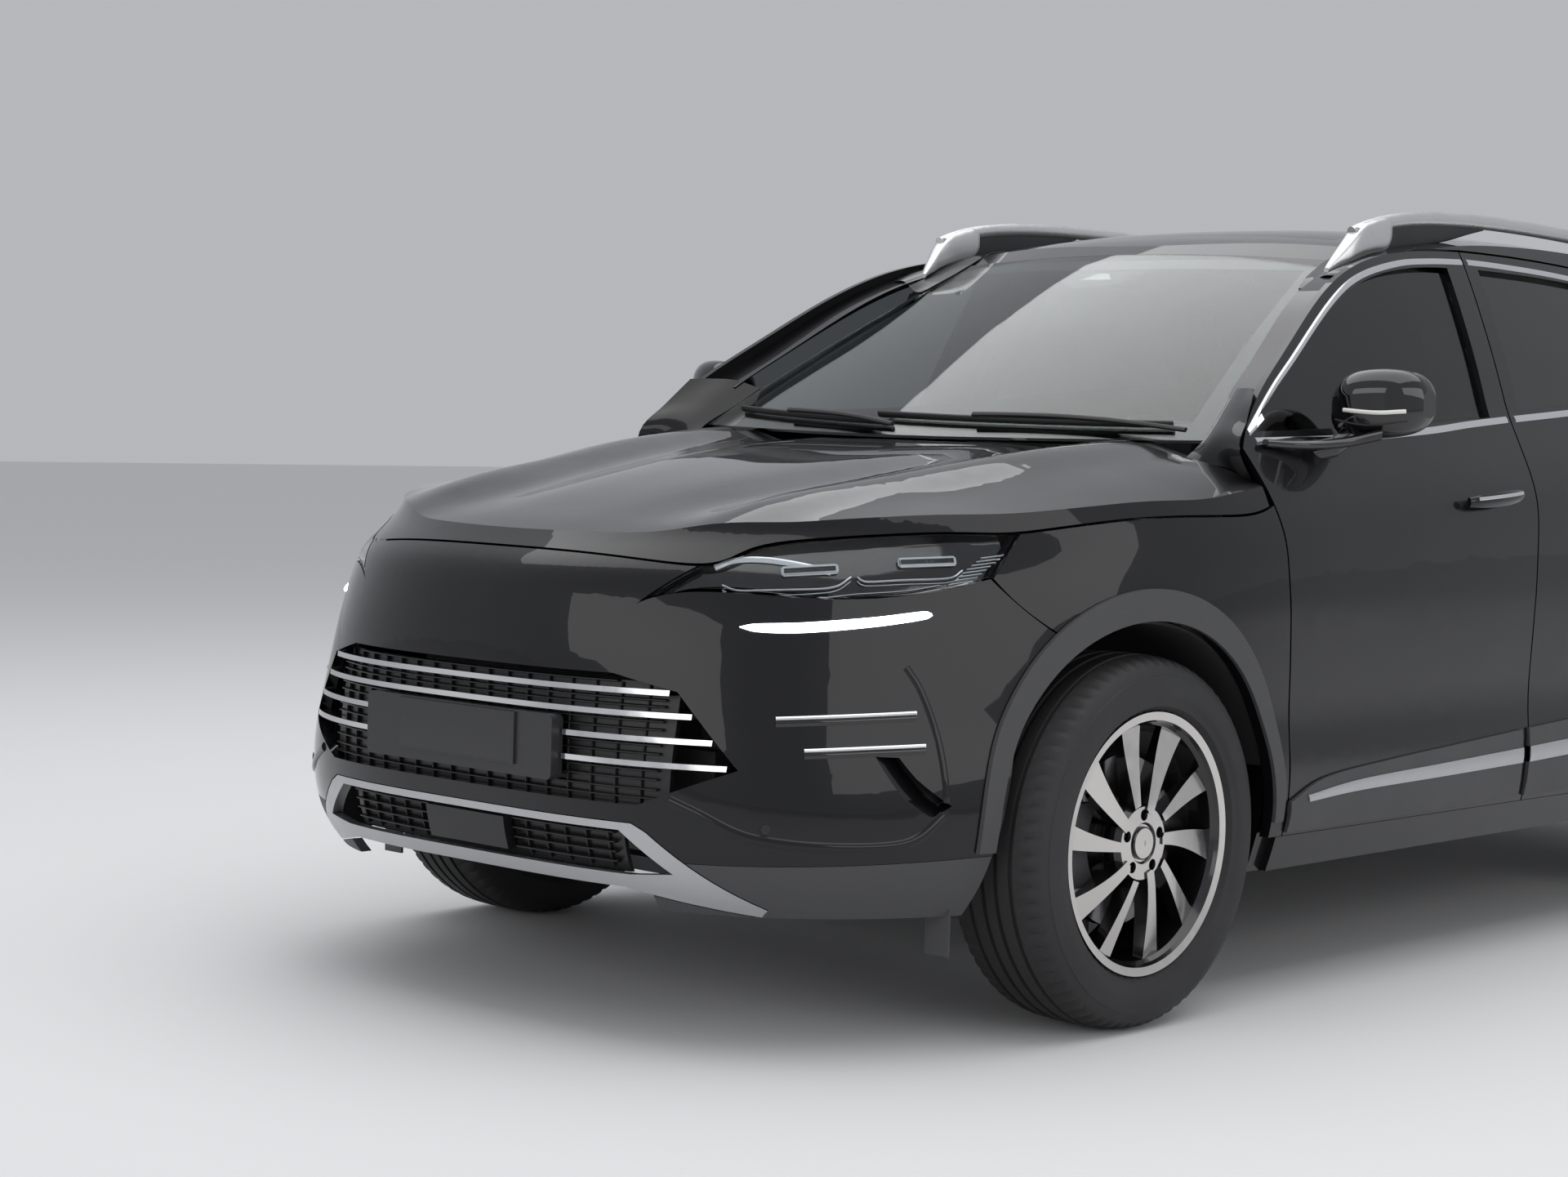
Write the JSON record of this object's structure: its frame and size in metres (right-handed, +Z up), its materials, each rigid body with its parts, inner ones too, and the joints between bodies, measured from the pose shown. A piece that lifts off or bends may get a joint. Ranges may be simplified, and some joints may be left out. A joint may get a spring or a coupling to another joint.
{
  "type": "plug-in hybrid crossover",
  "caption": "Black five-door plug-in hybrid crossover with hinged doors, bonnet, tailgate and flaps, steered front wheels and turning wheels.",
  "frame": {"origin": "on the ground, midway along the length and width", "axes": "+X towards the left side, -Y towards the front, +Z up"},
  "size_m": [2.08, 4.805, 1.6725],
  "materials": {
    "paint_black": "gloss",
    "cladding_grey": "matte",
    "dark_plastic": "matte",
    "gloss_black": "gloss",
    "satin_silver": "satin",
    "bright_chrome": "polished",
    "clear_glass": "clear",
    "tinted_glass": "tinted",
    "lamp_red": "gloss",
    "tyre_rubber": "matte",
    "rim_two_tone": "machined face, black pockets",
    "underseal": "matte",
    "cast_metal": "rough",
    "seat_leather": "satin",
    "soft_black": "grained"
  },
  "bodies": {
    "body": {"battery_pack": "underseal", "body_side_left": "paint_black", "body_side_right": "paint_black", "cladding": "cladding_grey", "cowl_panel": "dark_plastic", "dashboard": "soft_black", "exhaust": "cast_metal", "fender_left": "paint_black", "fender_right": "paint_black", "fixed_glass": "clear_glass", "front_bumper": "paint_black", "grille_bars": "bright_chrome", "grille_mesh": "dark_plastic", "headlamp_housings": "gloss_black", "headlamp_lenses": "clear_glass", "plate_holders": "cladding_grey", "powertrain_block": "cast_metal", "quarter_left": "paint_black", "quarter_right": "paint_black", "rear_bumper": "paint_black", "roof_panel": "paint_black", "roof_rails": "satin_silver", "seats": "seat_leather", "skid_frames": "satin_silver", "suspension": "cast_metal", "tail_lamps": "lamp_red", "underbody": "underseal"},
    "bonnet": {"bonnet": "paint_black"},
    "tailgate": {"tailgate": "paint_black", "tailgate_glass": "tinted_glass"},
    "steering_wheel": {"steering_wheel": "soft_black"},
    "fuel_flap": {"fuel_flap": "paint_black"},
    "charge_flap": {"charge_flap": "paint_black"},
    "steer_left": {"knuckle_left": "cast_metal"},
    "steer_right": {"knuckle_right": "cast_metal"},
    "door_front_left": {"door_front_left": "paint_black", "door_glass_front_left": "tinted_glass", "mirror_left": "gloss_black"},
    "door_rear_left": {"door_rear_left": "paint_black", "door_glass_rear_left": "tinted_glass"},
    "wheel_front_left": {"tyre_front_left": "tyre_rubber", "wheel_front_left": "rim_two_tone"},
    "wheel_rear_left": {"tyre_rear_left": "tyre_rubber", "wheel_rear_left": "rim_two_tone"},
    "door_front_right": {"door_front_right": "paint_black", "door_glass_front_right": "tinted_glass", "mirror_right": "gloss_black"},
    "door_rear_right": {"door_rear_right": "paint_black", "door_glass_rear_right": "tinted_glass"},
    "wheel_front_right": {"tyre_front_right": "tyre_rubber", "wheel_front_right": "rim_two_tone"},
    "wheel_rear_right": {"tyre_rear_right": "tyre_rubber", "wheel_rear_right": "rim_two_tone"}
  },
  "joints": [
    {"name": "steer_left", "type": "hinge", "parent": "body", "child": "steer_left", "pos_m": [0.752, -1.4575, 0.2], "axis": [-0.2456, 0, 0.9694], "range_deg": [-33, 33]},
    {"name": "wheel_spin_front_left", "type": "hinge", "parent": "steer_left", "child": "wheel_front_left", "pos_m": [0.815, -1.4575, 0.359], "axis": [1, 0, 0], "continuous": true},
    {"name": "wheel_spin_rear_left", "type": "hinge", "parent": "body", "child": "wheel_rear_left", "pos_m": [0.815, 1.3075, 0.359], "axis": [1, 0, 0], "continuous": true},
    {"name": "door_front_left", "type": "hinge", "parent": "body", "child": "door_front_left", "pos_m": [0.936, -1.135, 0.45], "axis": [-0.0492, 0, 0.9988], "range_deg": [-66, 0]},
    {"name": "door_rear_left", "type": "hinge", "parent": "body", "child": "door_rear_left", "pos_m": [0.936, -0.13, 0.45], "axis": [-0.0492, 0, 0.9988], "range_deg": [-66, 0]},
    {"name": "steer_right", "type": "hinge", "parent": "body", "child": "steer_right", "pos_m": [-0.752, -1.4575, 0.2], "axis": [0.2456, 0, 0.9694], "range_deg": [-33, 33]},
    {"name": "wheel_spin_front_right", "type": "hinge", "parent": "steer_right", "child": "wheel_front_right", "pos_m": [-0.815, -1.4575, 0.359], "axis": [1, 0, 0], "continuous": true},
    {"name": "wheel_spin_rear_right", "type": "hinge", "parent": "body", "child": "wheel_rear_right", "pos_m": [-0.815, 1.3075, 0.359], "axis": [1, 0, 0], "continuous": true},
    {"name": "door_front_right", "type": "hinge", "parent": "body", "child": "door_front_right", "pos_m": [-0.936, -1.135, 0.45], "axis": [0.0492, 0, 0.9988], "range_deg": [0, 66]},
    {"name": "door_rear_right", "type": "hinge", "parent": "body", "child": "door_rear_right", "pos_m": [-0.936, -0.13, 0.45], "axis": [0.0492, 0, 0.9988], "range_deg": [0, 66]},
    {"name": "steering_wheel", "type": "hinge", "parent": "body", "child": "steering_wheel", "pos_m": [0.37, -0.56, 0.985], "axis": [0, 0.9272, 0.3746], "range_deg": [-460, 460]},
    {"name": "bonnet", "type": "hinge", "parent": "body", "child": "bonnet", "pos_m": [0, -1.03, 1.11], "axis": [-1, 0, 0], "range_deg": [0, 42]},
    {"name": "tailgate", "type": "hinge", "parent": "body", "child": "tailgate", "pos_m": [0, 1.815, 1.59], "axis": [1, 0, 0], "range_deg": [0, 75]},
    {"name": "fuel_flap", "type": "hinge", "parent": "body", "child": "fuel_flap", "pos_m": [0.93, 1.502, 0.965], "axis": [0, 0, 1], "range_deg": [-85, 0]},
    {"name": "charge_flap", "type": "hinge", "parent": "body", "child": "charge_flap", "pos_m": [-0.93, 1.502, 0.965], "axis": [0, 0, 1], "range_deg": [0, 85]}
  ],
  "couplings": [
    {"joint": "steer_right", "follows": "steer_left", "ratio": 1},
    {"joint": "steering_wheel", "follows": "steer_left", "ratio": 13.9}
  ]
}
